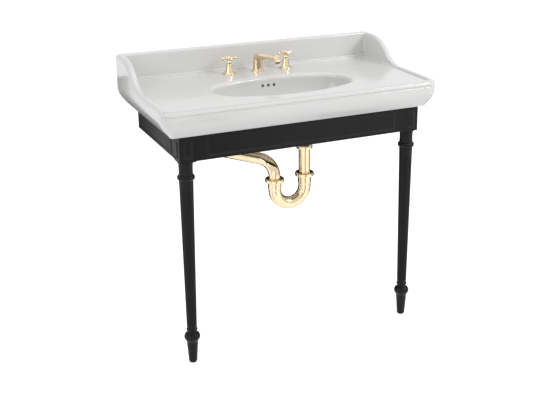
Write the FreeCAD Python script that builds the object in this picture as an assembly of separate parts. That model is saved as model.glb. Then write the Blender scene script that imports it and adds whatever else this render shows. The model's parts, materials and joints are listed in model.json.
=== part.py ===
import FreeCAD, Part

import math
import os

from FreeCAD import Placement, Rotation, Vector

# A console basin on two turned front legs, fixed to the wall at its back.
# Millimetres. X runs to the right, Y runs back to the wall and Z runs up from the floor.
# The origin is on the floor, under the middle of the basin's outline.

# ---------------------------------------------------------------- frame and legs
block_size = 52.0            # square corner blocks over the legs
block_height = 78.0
leg_inset = 81.0             # leg axis from the basin's side
leg_setback = 61.5           # leg axis behind the basin's front
rail_thickness = 20.0
rail_recess = 0.6            # rail faces lie behind the block faces
rail_underside_step = 2.0    # rails end above the blocks' underside
rail_wall_gap = 26.0         # side rails end in front of the wall
panel_lift = 3.0             # raised panels stand out this far
panel_bevel = 8.0
block_panel_border = 10.5
rail_panel_border = 9.0      # above and below the panel
front_panel_end_border = 31.0
side_panel_end_border = 14.0
edge_break = 2.5             # rounding on the blocks' upright edges
panel_root = 1.0             # a panel is let into its face this far

dowel_radius = 4.0
dowel_length = 34.0
dowel_fit = 0.05
dowel_edge_distance = 20.0   # dowels from the rails' top and bottom edges
dowel_end_gap = 1.0

stud_radius = 5.0
stud_length = 76.0
stud_fit = 0.1

bracket_arm = 62.0
bracket_plate = 44.0
bracket_height = 46.0
bracket_thickness = 4.0
bracket_wall_hole_radius = 4.5
bracket_wall_hole_spacing = 24.0
bracket_screw_radius = 2.2
bracket_screw_head_radius = 4.2
bracket_screw_head_height = 2.4
bracket_screw_length = 14.0
bracket_screw_spacing = 26.0
screw_fit = 0.1

pad_thickness = 2.0          # soft pads between the frame and the basin
pad_radius = 8.0
front_pad_spacing = 380.0
side_pad_spacing = 190.0
side_pad_setback = 110.0     # rearmost side pads in front of the wall

foot_pad_radius = 10.0
foot_pad_height = 4.0
foot_pad_showing = 2.0

# leg: radii of its turned profile, with heights that build up from the floor
foot_radius = 13.0
foot_round = 4.0
foot_neck_height = 66.0
foot_neck_radius = 17.5
foot_cove_radius = 18.3
foot_cove_rise = 12.5
bulb_start_radius = 21.3
bulb_lower_rise = 11.5
bulb_radius = 24.8
bulb_upper_rise = 10.75
bulb_end_radius = 18.0
waist_rise = 8.25
waist_radius = 13.6
ring_root_radius = 14.5
ring_radius = 17.2
ring_half_height = 4.0
shaft_cove_radius = 14.8
shaft_cove_rise = 4.0
shaft_bottom_radius = 15.6
shaft_length = 455.0
shaft_top_radius = 21.0
flute_bottom_gap = 11.0      # plain shaft below the flutes
flute_top_gap = 10.0         # plain shaft above the flutes
collar_rise = 33.0           # from the shaft's top to the middle of the collar
collar_radius = 26.5
collar_half_height = 8.0
neck_length = 51.0           # from the middle of the collar to the corner block
neck_radius = 21.5
neck_waist_radius = 20.8
cap_radius = 24.5
cap_height = 5.0
cap_cove_height = 3.0
flute_count = 12
flute_depth = 2.2
flute_radius_share = 0.36    # flute radius as a share of the spacing between flutes

# ---------------------------------------------------------------- basin
basin_width = 914.0
basin_depth = 476.0
body_height = 80.0           # underside of the basin to its deck
deck_thickness = 16.0
corner_radius = 42.0
lip_height = 6.0
lip_width = 22.0
lip_outer_round = 12.0
band_height = 60.0           # height where the undercut begins, above the basin's underside
undercut = 31.0
undercut_radius = 60.0
skirt_core = 40.0            # depth of the moulded edge that is swept round the deck
skirt_wall = 50.0            # solid edge around the hollow underside
foot_flange_width = 80.0     # inner edge of the flange that stands on the frame
foot_flange_height = 13.0
back_wall = 26.0
splash_height = 84.0         # above the deck
splash_thickness = 22.0
splash_inner_round = 8.0
wing_flat = 60.0             # level top of a wing, from the wall
wing_reach = 245.0           # a wing meets the lip here
wing_crest_share = 0.56      # convex part of the wing's curve
ledge_depth = 9.0
ledge_height = 8.0
ledge_round = 3.0
wing_cove = 8.0
wing_cove_tip = 1.0
wing_cove_fade = 30.0
groove_radius = 3.8
groove_reach = 62.0          # degrees that the front grooves run round each corner
upper_groove_angle = 48.0
upper_groove_lift = 1.0
lower_groove_drop = 4.6      # below the centre of the lip's round
lower_groove_lift = 1.0

bowl_half_width = 229.0
bowl_half_depth = 115.0
bowl_end_radius = 84.0       # the bowl's plan is an oval of four arcs
bowl_depth = 130.0
bowl_wall = 12.0
bowl_setback = 278.0         # bowl centre from the wall
bowl_power = 2.6             # above 2 the sides are steeper and the bottom flatter
bowl_edge_round = 13.0
bowl_angles = (0.0, 14.0, 28.0, 42.0, 56.0, 68.0, 79.0)
overflow_hole_radius = 5.0
overflow_spacing = 20.0
overflow_drop = 30.0         # below the deck
overflow_count = 3
duct_gap = 9.0
duct_wall = 9.0
duct_half_width = 34.0
duct_channel_width = 20.0
duct_channel_reach = 66.0    # from the drain's axis to the foot of the duct

tap_setback = 76.0
tap_spacing = 203.2
tap_hole_radius = 17.5
wall_hole_radius = 7.0
wall_hole_spacing = 280.0
wall_hole_drop = 38.0        # below the deck

# ---------------------------------------------------------------- valves and handles
base_ring_radius = 21.5
base_ring_height = 3.5
base_ring_bulge = 0.6
base_ring_taper = 0.4
base_recess_radius = 19.9
base_recess_height = 3.1
bell_foot_flare = 1.5
bell_foot_step = 2.0
bell_bottom_radius = 14.6
bell_waist_radius = 11.4
bell_waist_height = 18.7
bell_top_radius = 9.4
bell_top_round = 2.0
bell_height = 34.0
bell_bore = 10.4
bell_bore_height = 26.0
bell_bore_taper = 9.0
bell_throat_radius = 7.2
bell_throat_height = 2.5
bell_mouth_radius = 5.6
valve_flange_radius = 19.5
valve_flange_height = 2.6
valve_neck_radius = 10.2
valve_neck_height = 24.0
valve_neck_taper = 8.0
valve_neck_top_radius = 6.8
shank_radius = 14.5
valve_bottom = 62.0          # below the deck
valve_outlet_drop = 50.0
inlet_radius = 10.45
inlet_length = 20.0
inlet_bore = 8.0
outlet_boss_radius = 7.5
outlet_boss_reach = 24.0
stem_radius = 4.0
stem_fit = 0.05
stem_bore_depth = 18.0
stem_end_gap = 0.3
handle_gap = 2.0
handle_centre = 52.0         # above the deck
hub_foot_radius = 7.2
hub_foot_height = 2.5
hub_waist_radius = 5.2
hub_radius = 7.4
hub_shoulder_drop = 3.0
hub_bevel = 1.5
hub_rise = 5.0
handle_arm_count = 4
arm_reach = 22.5
arm_radius = 2.5
arm_root_radius = 3.6
arm_ball_radius = 5.0
button_radius = 5.4
button_height = 2.6
button_seat = 1.2
gasket_height = 3.0
gasket_lap = 8.5
locknut_height = 8.0
locknut_wall = 9.0
nut_fit = 0.1

# ---------------------------------------------------------------- spout
spout_base_radius = 21.0
spout_base_height = 4.0
spout_base_bevel = 1.0
column_foot_flare = 1.5
column_foot_rise = 2.0
column_bottom_radius = 16.4
column_top_radius = 14.8
column_height = 45.0
# stations along the arm: reach from the column, height over the deck, radius
arm_stations = ((0.0, 46.0, 13.4), (30.0, 52.0, 11.8), (67.0, 58.5, 9.4),
                (100.0, 63.8, 7.5), (126.0, 67.3, 6.4), (150.0, 70.5, 5.9))
nozzle_reach = 150.0
nozzle_rise = 78.0
nozzle_tilt = 38.0
nozzle_radius = 10.2
nozzle_length = 24.0
nozzle_round = 2.5
aerator_radius = 8.6
aerator_depth = 6.0
aerator_fit = 0.1
aerator_wall = 1.4
aerator_bar = 1.2
spout_shank_radius = 10.5
spout_shank_length = 58.0
spout_shank_bore = 6.0
tee_radius = 15.0
tee_height = 22.0
tee_arm_radius = 8.5
tee_arm_reach = 24.0
crossover_radius = 5.0
crossover_bore = 4.0
crossover_entry = 8.0
crossover_fit = 0.1

# ---------------------------------------------------------------- waste and trap
drain_hole_radius = 22.5
drain_boss_radius = 41.0
drain_seat_drop = 130.0      # flange seat below the deck
drain_floor = 13.0           # thickness of the bowl's floor at the drain
waste_flange_radius = 32.0
waste_flange_thickness = 3.0
flange_edge_height = 1.8
flange_bevel = 3.5
flange_fit = 0.5
waste_throat_flare = 2.2
waste_throat_rise = 0.4
waste_throat_depth = 3.0
waste_thread_radius = 20.95
waste_bore = 17.2
waste_length = 44.0
overflow_slot_height = 6.0
overflow_slot_width = 16.0
bridge_height = 5.0
bridge_width = 5.0
bridge_drop = 24.0
guide_radius = 7.0
plug_radius = 28.0
plug_lap = 1.5               # the plug overlaps the flat of the flange
plug_dome = 5.0
plug_rim = 1.6
plug_stem_radius = 4.0
plug_fit = 0.05
plug_travel = 8.0
plug_clearance = 0.3         # under the closed plug, and under the bridge when it is open
plug_collar_radius = 6.4
plug_collar_height = 3.0
waste_gasket_lap = 12.0
waste_nut_height = 9.0
waste_nut_across = 27.5
offset_shift = 75.0
offset_tube_radius = 15.0
offset_bend_radius = 20.0
offset_collar_radius = 20.5
offset_collar_height = 4.0
coupling_shelf = 2.5         # lip of a nut that bears on a collar
coupling_bend_room = 2.5     # the nut slides over the start of the bend
coupling_height = 15.0
coupling_wall = 4.5
coupling_round = 1.5

tube_radius = 19.05          # tailpiece, J-bend and arm
tube_wall = 1.4
tailpiece_lip = 1.5
tail_nut_round = 2.0
tail_nut_bottom = 598.0
tail_nut_height = 10.5
tail_nut_radius = 26.5
tail_entry = 5.0             # the tailpiece reaches this far into its nut above the collar
inlet_nut_bottom = 504.0
outlet_nut_bottom = 498.0
slip_nut_height = 12.5
slip_nut_radius = 31.0
slip_nut_round = 3.5
slip_nut_shelf = 2.5
slip_washer_height = 3.0
trap_tube_radius = 20.4      # J-bend
socket_radius = 21.8
socket_depth = 22.0
socket_taper = 4.0
socket_floor = 2.0
socket_fit = 0.25
bend_radius = 53.5
bend_bottom = 418.0          # axis of the J-bend at its lowest
arm_bend_radius = 53.0
arm_height = 568.0
arm_heading = 34.0           # degrees to the left of straight back
arm_turn_distance = 90.0     # the arm turns square to the wall this far in front of it
arm_turn_radius = 70.0
flange_radius = 37.0
flange_height = 12.0
flange_dome_height = 8.6
flange_dome_bulge = 2.0
flange_fit_gap = 0.25
flange_skin = 2.0

cut_margin = 1.0             # cutting tools run on past the faces that they cut
join_lap = 1.0               # shapes that are fused run into each other by this much
touching = 1e-3              # places closer than this count as the same

# ---------------------------------------------------------------- derived places
half_width = basin_width / 2
wall_y = basin_depth / 2
bulb_bottom = foot_neck_height + foot_cove_rise
bulb_height = bulb_bottom + bulb_lower_rise
bulb_top = bulb_height + bulb_upper_rise
ring_bottom = bulb_top + waist_rise
ring_height = ring_bottom + ring_half_height
ring_top = ring_height + ring_half_height
shaft_bottom = ring_top + shaft_cove_rise
shaft_top = shaft_bottom + shaft_length
collar_height = shaft_top + collar_rise
block_bottom = collar_height + neck_length
frame_top = block_bottom + block_height
basin_bottom = frame_top + pad_thickness
deck = basin_bottom + body_height
deck_underside = deck - deck_thickness
rim = deck + lip_height
splash_top = deck + splash_height
leg_x = half_width - leg_inset
leg_y = leg_setback - wall_y
rail_bottom = block_bottom + rail_underside_step
rail_height = frame_top - rail_bottom
drain_seat = deck - drain_seat_drop
drain_underside = drain_seat - drain_floor
slot_low = drain_underside + (drain_floor - overflow_slot_height) / 2
slot_high = slot_low + overflow_slot_height
SIDES = {"left": -1, "right": 1}
VALVES = {"hot": -1, "cold": 1}
UP = Vector(0, 0, 1)
BACK = Vector(0, 1, 0)
RIGHT = Vector(1, 0, 0)


def from_wall(distance):
    """Y of a point that lies this far in front of the wall."""
    return wall_y - distance


bowl_y = from_wall(bowl_setback)
tap_y = from_wall(tap_setback)
drain_y = bowl_y


# ---------------------------------------------------------------- helpers
def box(x_range, y_range, z_range):
    low = Vector(min(x_range), min(y_range), min(z_range))
    size = Vector(max(x_range), max(y_range), max(z_range)) - low
    return Part.makeBox(size.x, size.y, size.z, low)


def rod(radius, start, end):
    start, end = Vector(start), Vector(end)
    return Part.makeCylinder(radius, start.distanceToPoint(end), start, end - start)


def polygon_face(points):
    return Part.Face(Part.makePolygon(points + [points[0]]))


def turned(points, axis=Vector(0, 0, 0)):
    """Solid of revolution about an upright axis; the points are radius and height."""
    wire = Part.makePolygon([Vector(r, 0, z) for r, z in points + [points[0]]])
    solid = Part.Face(wire).revolve(Vector(0, 0, 0), UP, 360)
    solid.translate(axis)
    return solid


def turned_wire(edges, axis=Vector(0, 0, 0)):
    solid = Part.Face(Part.Wire(edges)).revolve(Vector(0, 0, 0), UP, 360)
    solid.translate(axis)
    return solid


def dome_arc(radius, z, height):
    """Arc from a rim up to the axis, on a sphere that is centred on the axis."""
    sphere = (radius ** 2 + height ** 2) / (2 * height)
    half = math.asin(radius / sphere) / 2
    centre = z + height - sphere
    middle = Vector(sphere * math.sin(half), 0, centre + sphere * math.cos(half))
    return Part.Arc(Vector(radius, 0, z), middle, Vector(0, 0, z + height)).toShape()


def ring(inner, outer, z_low, z_high, axis=Vector(0, 0, 0)):
    solid = turned([(inner, z_low), (outer, z_low), (outer, z_high), (inner, z_high)])
    solid.translate(axis)
    return solid


def rounded_ring(inner, outer, z_low, z_high, rounding, axis=Vector(0, 0, 0)):
    """Ring whose two outer edges are rounded."""
    solid = ring(inner, outer, z_low, z_high)
    rims = [edge for edge in solid.Edges if is_circle_at(edge, outer)]
    solid = solid.makeFillet(rounding, rims)
    solid.translate(axis)
    return solid


def is_circle_at(edge, radius):
    curve = edge.Curve
    return isinstance(curve, Part.Circle) and abs(curve.Radius - radius) < touching


def is_upright(edge):
    direction = edge.tangentAt(edge.FirstParameter)
    return math.hypot(direction.x, direction.y) < touching


def hexagon_nut(inner, across_half, z_low, z_high, axis=Vector(0, 0, 0)):
    corner = across_half / math.cos(math.pi / 6)
    angles = [math.radians(60 * k + 30) for k in range(6)]
    points = [Vector(corner * math.cos(a), corner * math.sin(a), z_low) for a in angles]
    nut = polygon_face(points).extrude(UP * (z_high - z_low))
    nut = nut.cut(rod(inner, Vector(0, 0, z_low), Vector(0, 0, z_high)))
    nut.translate(axis)
    return nut


def fuse_all(shapes):
    return shapes[0].multiFuse(shapes[1:]).removeSplitter() if len(shapes) > 1 else shapes[0]


def group(shapes):
    return Part.makeCompound(shapes)


def route_wire(points, radii):
    """Straight runs through the points, joined by tangent arcs of the given radii."""
    edges = []
    start = points[0]
    for before, corner, after, radius in zip(points, points[1:], points[2:], radii):
        towards = (before - corner).normalize()
        onwards = (after - corner).normalize()
        half_turn = (math.pi - towards.getAngle(onwards)) / 2
        setback = radius * math.tan(half_turn)
        first = corner + towards * setback
        last = corner + onwards * setback
        inward = (towards + onwards).normalize()
        middle = corner + inward * (radius / math.cos(half_turn) - radius)
        edges.append(Part.makeLine(start, first))
        edges.append(Part.Arc(first, middle, last).toShape())
        start = last
    edges.append(Part.makeLine(start, points[-1]))
    return Part.Wire(edges)


def tube_along(points, radii, radius):
    path = route_wire(points, radii)
    start_direction = points[1] - points[0]
    section = Part.Wire([Part.makeCircle(radius, points[0], start_direction)])
    return path.makePipeShell([section], True, False)


def pipe(points, radii, outer, inner):
    """Bent tube with its bore running right through."""
    return tube_along(points, radii, outer).cut(tube_along(points, radii, inner))


def raised_panel(centre, across, up, outward, width, height, bevel=panel_bevel):
    """Fielded panel: a bevelled plate that stands out of a flat face."""
    def outline(half_w, half_h, lift):
        base = centre + outward * lift
        corners = [base + across * (sx * half_w) + up * (sz * half_h)
                   for sx, sz in ((-1, -1), (1, -1), (1, 1), (-1, 1))]
        return Part.makePolygon(corners + [corners[0]])
    foot = outline(width / 2, height / 2, -panel_root)
    base = outline(width / 2, height / 2, 0)
    field = outline(width / 2 - bevel, height / 2 - bevel, panel_lift)
    plinth = Part.makeLoft([foot, base], True, True)
    return plinth.fuse(Part.makeLoft([base, field], True, True))


# ---------------------------------------------------------------- legs
def leg_profile():
    """Half outline of a turned leg, from the floor end of its axis to the top end."""
    base = foot_pad_showing
    top = block_bottom
    cap_bottom = top - cap_height
    cove_top = cap_bottom - cap_cove_height
    collar_low = collar_height - collar_half_height
    collar_high = collar_height + collar_half_height

    def point(radius, height):
        return Vector(radius, 0, height)

    def line(start, end):
        return Part.makeLine(point(*start), point(*end))

    def arc(start, through, end):
        return Part.Arc(point(*start), point(*through), point(*end)).toShape()

    def cove(start, middle_radius, end):
        return arc(start, (middle_radius, (start[1] + end[1]) / 2), end)

    foot_corner = foot_round * (1 - math.sqrt(0.5))
    foot_neck = (foot_neck_radius, foot_neck_height)
    bulb_start = (bulb_start_radius, bulb_bottom)
    bulb_end = (bulb_end_radius, bulb_top)
    ring_start = (ring_root_radius, ring_bottom)
    ring_end = (ring_root_radius, ring_top)
    shaft_start = (shaft_bottom_radius, shaft_bottom)
    collar_start = (neck_radius, collar_low)
    collar_end = (neck_radius, collar_high)
    return [
        line((0, base), (foot_radius - foot_round, base)),
        arc((foot_radius - foot_round, base),
            (foot_radius - foot_corner, base + foot_corner),
            (foot_radius, base + foot_round)),
        line((foot_radius, base + foot_round), foot_neck),
        cove(foot_neck, foot_cove_radius, bulb_start),
        arc(bulb_start, (bulb_radius, bulb_height), bulb_end),
        cove(bulb_end, waist_radius, ring_start),
        arc(ring_start, (ring_radius, ring_height), ring_end),
        cove(ring_end, shaft_cove_radius, shaft_start),
        line(shaft_start, (shaft_top_radius, shaft_top)),
        line((shaft_top_radius, shaft_top), collar_start),
        arc(collar_start, (collar_radius, collar_height), collar_end),
        cove(collar_end, neck_waist_radius, (neck_radius, cove_top)),
        line((neck_radius, cove_top), (cap_radius, cap_bottom)),
        line((cap_radius, cap_bottom), (cap_radius, top)),
        line((cap_radius, top), (0, top)),
        line((0, top), (0, base)),
    ]


def shaft_radius_at(height):
    share = (height - shaft_bottom) / (shaft_top - shaft_bottom)
    return shaft_bottom_radius + share * (shaft_top_radius - shaft_bottom_radius)


def flute_cutter():
    """Tapered round-ended tool that cuts one flute on the +X side of the shaft."""
    ends = []
    for height in (shaft_bottom + flute_bottom_gap, shaft_top - flute_top_gap):
        surface = shaft_radius_at(height)
        radius = 2 * math.pi * surface / flute_count * flute_radius_share
        ends.append((Vector(surface + radius - flute_depth, 0, height), radius))
    (low, low_radius), (high, high_radius) = ends
    body = Part.makeCone(low_radius, high_radius, low.distanceToPoint(high), low, high - low)
    caps = [Part.makeSphere(low_radius, low), Part.makeSphere(high_radius, high)]
    return body.multiFuse(caps)


def leg(side):
    turning = turned_wire(leg_profile())
    cutter = flute_cutter()
    cutters = []
    for k in range(flute_count):
        copy = cutter.copy()
        copy.rotate(Vector(0, 0, 0), UP, 360 * (k + 0.5) / flute_count)
        cutters.append(copy)
    turning = turning.cut(Part.makeCompound(cutters))
    half_stud = stud_length / 2
    turning = turning.cut(rod(stud_radius + stud_fit, Vector(0, 0, block_bottom - half_stud - dowel_end_gap),
                              Vector(0, 0, block_bottom)))
    turning = turning.cut(rod(foot_pad_radius + stud_fit, Vector(0, 0, 0), Vector(0, 0, foot_pad_height)))
    turning.translate(Vector(side * leg_x, leg_y, 0))
    return turning


def foot_pad(side):
    foot = Vector(side * leg_x, leg_y, 0)
    return rod(foot_pad_radius, foot, foot + UP * foot_pad_height)


def leg_studs():
    half_stud = stud_length / 2
    studs = []
    for side in SIDES.values():
        centre = Vector(side * leg_x, leg_y, block_bottom)
        studs.append(rod(stud_radius, centre - UP * half_stud, centre + UP * half_stud))
    return group(studs)


# ---------------------------------------------------------------- frame
block_half = block_size / 2
rail_front_y = leg_y - block_half + rail_recess
rail_back_y = rail_front_y + rail_thickness
side_rail_outer_x = leg_x + block_half - rail_recess
side_rail_inner_x = side_rail_outer_x - rail_thickness
block_back_y = leg_y + block_half
side_rail_end_y = from_wall(rail_wall_gap)
dowel_heights = (rail_bottom + dowel_edge_distance, frame_top - dowel_edge_distance)
side_rail_mid_x = (side_rail_outer_x + side_rail_inner_x) / 2
front_rail_mid_y = (rail_front_y + rail_back_y) / 2


def dowel_places():
    """Centre and direction of each dowel: front rail joints, then side rail joints."""
    places = []
    for side in SIDES.values():
        for z in dowel_heights:
            places.append((Vector(side * (leg_x - block_half), front_rail_mid_y, z), RIGHT))
            places.append((Vector(side * side_rail_mid_x, block_back_y, z), BACK))
    return places


def dowel_rod(place, radius, length):
    centre, direction = place
    return rod(radius, centre - direction * (length / 2), centre + direction * (length / 2))


def dowel_holes():
    length = dowel_length + 2 * dowel_end_gap
    return Part.makeCompound([dowel_rod(p, dowel_radius + dowel_fit, length) for p in dowel_places()])


def rail_dowels():
    return group([dowel_rod(p, dowel_radius, dowel_length) for p in dowel_places()])


def corner_block(side):
    x = side * leg_x
    block = box((x - block_half, x + block_half), (leg_y - block_half, block_back_y),
                (block_bottom, frame_top))
    block = block.makeFillet(edge_break, [edge for edge in block.Edges if is_upright(edge)])
    middle = Vector(x, leg_y, (block_bottom + frame_top) / 2)
    width = block_size - 2 * block_panel_border
    height = block_height - 2 * block_panel_border
    front = raised_panel(middle - BACK * block_half, RIGHT, UP, -BACK, width, height)
    flank = raised_panel(middle + RIGHT * side * block_half, BACK, UP, RIGHT * side, width, height)
    block = fuse_all([block, front, flank])
    block = block.cut(dowel_holes())
    stud_hole = rod(stud_radius + stud_fit, Vector(x, leg_y, block_bottom),
                    Vector(x, leg_y, block_bottom + stud_length / 2 + dowel_end_gap))
    return block.cut(stud_hole)


def front_rail():
    reach = leg_x - block_half
    rail = box((-reach, reach), (rail_front_y, rail_back_y), (rail_bottom, frame_top))
    middle = Vector(0, rail_front_y, (rail_bottom + frame_top) / 2)
    panel = raised_panel(middle, RIGHT, UP, -BACK, 2 * (reach - front_panel_end_border),
                         rail_height - 2 * rail_panel_border)
    return fuse_all([rail, panel]).cut(dowel_holes())


def bracket_screw_places(side):
    """Where each screw enters the bracket's arm, on the arm's inner face."""
    x = side * (side_rail_inner_x - bracket_thickness)
    y_middle = from_wall((bracket_arm + rail_wall_gap) / 2)
    z = (rail_bottom + frame_top) / 2
    return [Vector(x, y_middle + k * bracket_screw_spacing / 2, z) for k in (-1, 1)]


def side_rail(side):
    rail = box((side * side_rail_inner_x, side * side_rail_outer_x), (block_back_y, side_rail_end_y),
               (rail_bottom, frame_top))
    length = side_rail_end_y - block_back_y
    middle = Vector(side * side_rail_outer_x, (block_back_y + side_rail_end_y) / 2,
                    (rail_bottom + frame_top) / 2)
    panel = raised_panel(middle, BACK, UP, RIGHT * side, length - 2 * side_panel_end_border,
                         rail_height - 2 * rail_panel_border)
    rail = fuse_all([rail, panel]).cut(dowel_holes())
    for place in bracket_screw_places(side):
        reach = bracket_screw_length + dowel_end_gap
        rail = rail.cut(rod(bracket_screw_radius + screw_fit, place, place + RIGHT * side * reach))
    return rail


def wall_bracket(side):
    outer_x = side_rail_inner_x
    arm_plate = box((side * outer_x, side * (outer_x - bracket_thickness)), (wall_y, from_wall(bracket_arm)),
                    (0, bracket_height))
    wall_plate = box((side * outer_x, side * (outer_x - bracket_plate)),
                     (wall_y, wall_y - bracket_thickness), (0, bracket_height))
    bracket = fuse_all([arm_plate, wall_plate])
    bracket.translate(UP * ((rail_bottom + frame_top - bracket_height) / 2))
    hole_x = side * (outer_x - (bracket_plate + bracket_thickness) / 2)
    for k in (-1, 1):
        z = (rail_bottom + frame_top + k * bracket_wall_hole_spacing) / 2
        bracket = bracket.cut(rod(bracket_wall_hole_radius, Vector(hole_x, wall_y, z),
                                  Vector(hole_x, wall_y - bracket_thickness, z)))
    for place in bracket_screw_places(side):
        bracket = bracket.cut(rod(bracket_screw_radius + screw_fit, place,
                                  place + RIGHT * side * bracket_thickness))
    return bracket


def bracket_screws():
    screws = []
    for side in SIDES.values():
        for place in bracket_screw_places(side):
            inward = RIGHT * -side
            shank = rod(bracket_screw_radius, place, place - inward * bracket_screw_length)
            head = Part.makeCone(bracket_screw_head_radius, bracket_screw_radius,
                                 bracket_screw_head_height, place, inward)
            screws.append(shank.fuse(head))
    return group(screws)


def basin_pads():
    places = []
    for side in SIDES.values():
        places.append(Vector(side * leg_x, leg_y - block_half + pad_radius + edge_break, frame_top))
        places.append(Vector(side * front_pad_spacing / 2, front_rail_mid_y, frame_top))
        for k in range(2):
            setback = side_pad_setback + k * side_pad_spacing
            places.append(Vector(side * side_rail_mid_x, from_wall(setback), frame_top))
    return group([rod(pad_radius, place, place + UP * pad_thickness) for place in places])


# ---------------------------------------------------------------- basin
def edge_profile():
    """Section of the moulded edge at the wall end of the left side."""
    def point(outward, z):
        return Vector(-(half_width + outward), wall_y, z)

    band_top = basin_bottom + band_height
    toe = (-undercut, basin_bottom)
    to_centre = (-undercut_radius + undercut, band_height)
    distance = math.hypot(*to_centre)
    lean = math.atan2(to_centre[0], to_centre[1]) + math.asin(undercut_radius / distance)

    def undercut_point(angle):
        return (-undercut_radius * (1 - math.cos(angle)), band_top - undercut_radius * math.sin(angle))

    round_centre = (-lip_outer_round, rim - lip_outer_round)
    slant = math.pi / 4
    lip_flat_end = -(lip_width - lip_height)
    inner_centre = (lip_flat_end, deck)

    def line(start, end):
        return Part.makeLine(point(*start), point(*end))

    def arc(start, through, end):
        return Part.Arc(point(*start), point(*through), point(*end)).toShape()

    outer_mid = (round_centre[0] + lip_outer_round * math.cos(slant),
                 round_centre[1] + lip_outer_round * math.sin(slant))
    inner_mid = (inner_centre[0] - lip_height * math.cos(slant),
                 inner_centre[1] + lip_height * math.sin(slant))
    return Part.Wire([
        line((-skirt_core, basin_bottom), toe),
        line(toe, undercut_point(lean)),
        arc(undercut_point(lean), undercut_point(lean / 2), undercut_point(0)),
        line((0, band_top), (0, round_centre[1])),
        arc((0, round_centre[1]), outer_mid, (round_centre[0], rim)),
        line((round_centre[0], rim), (lip_flat_end, rim)),
        arc((lip_flat_end, rim), inner_mid, (-lip_width, deck)),
        line((-lip_width, deck), (-skirt_core, deck)),
        line((-skirt_core, deck), (-skirt_core, basin_bottom)),
    ])


def edge_path():
    """Outline of the basin's left side, front and right side."""
    z = basin_bottom
    corners = [Vector(-half_width, wall_y, z), Vector(-half_width, -wall_y, z),
               Vector(half_width, -wall_y, z), Vector(half_width, wall_y, z)]
    return route_wire(corners, [corner_radius, corner_radius])


def inset_box(inset, back, z_range):
    """Box that stays this far inside the basin's sides and front."""
    return box((inset - half_width, half_width - inset), (from_wall(back), inset - wall_y), z_range)


def wing_curve():
    """S-curve along the top of a wing, from its level part down to the lip."""
    run = wing_reach - wing_flat
    drop = splash_top - rim
    turn = 2 * math.atan2(drop, run)
    total = run / math.sin(turn)
    crest_radius = total * wing_crest_share
    sweep_radius = total - crest_radius

    def crest(angle):
        return Vector(0, from_wall(wing_flat + crest_radius * math.sin(angle)),
                      splash_top - crest_radius * (1 - math.cos(angle)))

    def sweep(angle):
        return Vector(0, from_wall(wing_reach - sweep_radius * math.sin(angle)),
                      rim + sweep_radius * (1 - math.cos(angle)))

    return [Part.Arc(crest(0), crest(turn / 2), crest(turn)).toShape(),
            Part.Arc(sweep(turn), sweep(turn / 2), sweep(0)).toShape()]


def upstand():
    """Splashback and the two wings, with rounded tops."""
    def corner(setback, z):
        return Vector(0, from_wall(setback), z)

    outline = [Part.makeLine(corner(0, deck_underside), corner(0, splash_top)),
               Part.makeLine(corner(0, splash_top), corner(wing_flat, splash_top))]
    outline += wing_curve()
    outline += [Part.makeLine(corner(wing_reach, rim), corner(wing_reach, deck_underside)),
                Part.makeLine(corner(wing_reach, deck_underside), corner(0, deck_underside))]
    block = Part.Face(Part.Wire(outline)).extrude(RIGHT * basin_width)
    block.translate(RIGHT * -half_width)
    inner_x = half_width - lip_width
    inner_y = from_wall(splash_thickness)
    hollow = box((-inner_x, inner_x), (from_wall(wing_reach + cut_margin), inner_y),
                 (deck_underside - cut_margin, splash_top + cut_margin))
    corners = [e for e in hollow.Edges if is_upright(e) and e.BoundBox.YMax > inner_y - touching]
    hollow = hollow.makeFillet(splash_inner_round, corners)
    walls = block.cut(hollow)

    def on_top(edge):
        return edge.BoundBox.ZMin > rim - touching

    def along(edge, x):
        return abs(abs(edge.BoundBox.XMin) - x) < touching and abs(abs(edge.BoundBox.XMax) - x) < touching

    outer = [e for e in walls.Edges
             if on_top(e) and along(e, half_width) and e.BoundBox.YMin < wall_y - touching]
    walls = walls.makeFillet(lip_outer_round, outer)
    inner = [e for e in walls.Edges if on_top(e) and is_inner_top(e, inner_x, inner_y)]
    return walls.makeFillet(lip_height, inner)


def is_inner_top(edge, inner_x, inner_y):
    """True on the upper edge of the faces that look in over the deck."""
    limits = edge.BoundBox
    middle = edge.valueAt((edge.FirstParameter + edge.LastParameter) / 2)
    on_wing = abs(abs(middle.x) - inner_x) < touching and limits.YLength > touching
    on_splash = abs(middle.y - inner_y) < touching and limits.XLength > touching
    reach = splash_inner_round
    in_corner = inner_x - touching > abs(middle.x) > inner_x - reach
    in_corner = in_corner and inner_y - touching > middle.y > inner_y - reach
    in_corner = in_corner and abs(middle.z - splash_top) < touching
    return on_wing or on_splash or in_corner


def splash_ledge():
    """Small ledge along the foot of the splashback."""
    def point(setback, height):
        return Vector(0, from_wall(splash_thickness + setback), deck + height)

    slant = ledge_round * (1 - math.sqrt(0.5))
    front = ledge_depth
    cove_end = front + ledge_round
    edges = [
        Part.makeLine(point(-join_lap, -join_lap), point(-join_lap, ledge_height)),
        Part.makeLine(point(-join_lap, ledge_height), point(front - ledge_round, ledge_height)),
        Part.Arc(point(front - ledge_round, ledge_height), point(front - slant, ledge_height - slant),
                 point(front, ledge_height - ledge_round)).toShape(),
        Part.makeLine(point(front, ledge_height - ledge_round), point(front, ledge_round)),
        Part.Arc(point(front, ledge_round), point(front + slant, slant), point(cove_end, 0)).toShape(),
        Part.makeLine(point(cove_end, 0), point(cove_end, -join_lap)),
        Part.makeLine(point(cove_end, -join_lap), point(-join_lap, -join_lap)),
    ]
    reach = half_width - lip_width + join_lap
    strip = Part.Face(Part.Wire(edges)).extrude(RIGHT * (2 * reach))
    strip.translate(RIGHT * -reach)
    return strip


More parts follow.
